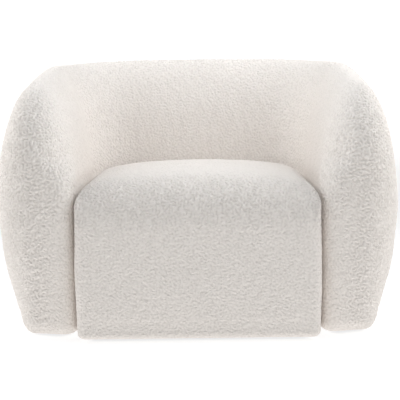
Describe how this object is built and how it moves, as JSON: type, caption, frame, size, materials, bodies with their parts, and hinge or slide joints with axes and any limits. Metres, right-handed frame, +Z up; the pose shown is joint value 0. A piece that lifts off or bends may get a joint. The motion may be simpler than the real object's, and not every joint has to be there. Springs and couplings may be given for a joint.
{
  "type": "upholstered tub armchair",
  "caption": "Low upholstered tub armchair: a rounded back wraps into thick arms round a seat block that reaches the floor, with timber frame, springs and foam inside.",
  "frame": {"origin": "on the floor, under the centre of the chair's box", "axes": "+X to the right as seen from the front, +Y towards the back, +Z up; the seat's front faces -Y"},
  "size_m": [1.026, 0.842, 0.711],
  "materials": {
    "boucle": "nubby looped wool bouclé, ivory, matt",
    "foam": "open-cell upholstery foam, cream, matt",
    "plywood": "birch plywood, unfinished",
    "timber": "softwood rail, unfinished",
    "spring_steel": "drawn spring wire, lightly oiled",
    "webbing": "elastic woven webbing, black",
    "felt": "needled felt, grey",
    "dust_cloth": "spun-bonded cloth, black, matt",
    "nylon": "moulded nylon, black, satin",
    "zinc_steel": "bright zinc plate"
  },
  "bodies": {
    "root": {"back_base_rail": "timber", "back_centre_post": "timber", "back_cover": "boucle", "back_foam": "foam", "back_top_rail": "timber", "back_web_1": "webbing", "back_web_2": "webbing", "left_arm_base_rail": "timber", "left_arm_cover": "boucle", "left_arm_foam": "foam", "left_arm_front_board": "plywood", "left_arm_plate_screw": "zinc_steel", "left_arm_rear_board": "plywood", "left_arm_seat_rail": "timber", "left_arm_top_rail": "timber", "left_back_rib": "plywood", "left_corner_base_plate": "plywood", "left_corner_top_plate": "plywood", "left_front_glide": "nylon", "left_joining_plate": "zinc_steel", "left_rear_glide": "nylon", "left_seat_corner_panel": "plywood", "left_seat_glide": "nylon", "left_seat_plate_screw": "zinc_steel", "left_seat_side_pad": "foam", "left_seat_side_panel": "plywood", "outside_back_cover": "boucle", "right_arm_base_rail": "timber", "right_arm_cover": "boucle", "right_arm_foam": "foam", "right_arm_front_board": "plywood", "right_arm_plate_screw": "zinc_steel", "right_arm_rear_board": "plywood", "right_arm_seat_rail": "timber", "right_arm_top_rail": "timber", "right_back_rib": "plywood", "right_corner_base_plate": "plywood", "right_corner_top_plate": "plywood", "right_front_glide": "nylon", "right_joining_plate": "zinc_steel", "right_rear_glide": "nylon", "right_seat_corner_panel": "plywood", "right_seat_glide": "nylon", "right_seat_plate_screw": "zinc_steel", "right_seat_side_pad": "foam", "right_seat_side_panel": "plywood", "seat_cover": "boucle", "seat_dust_cloth": "dust_cloth", "seat_foam": "foam", "seat_front_pad": "foam", "seat_front_panel": "plywood", "seat_insulator": "felt", "seat_rear_pad": "foam", "seat_rear_panel": "plywood", "seat_spring_1": "spring_steel", "seat_spring_2": "spring_steel", "seat_spring_3": "spring_steel", "seat_spring_4": "spring_steel", "seat_spring_5": "spring_steel", "tub_dust_cloth": "dust_cloth"}
  },
  "joints": []
}
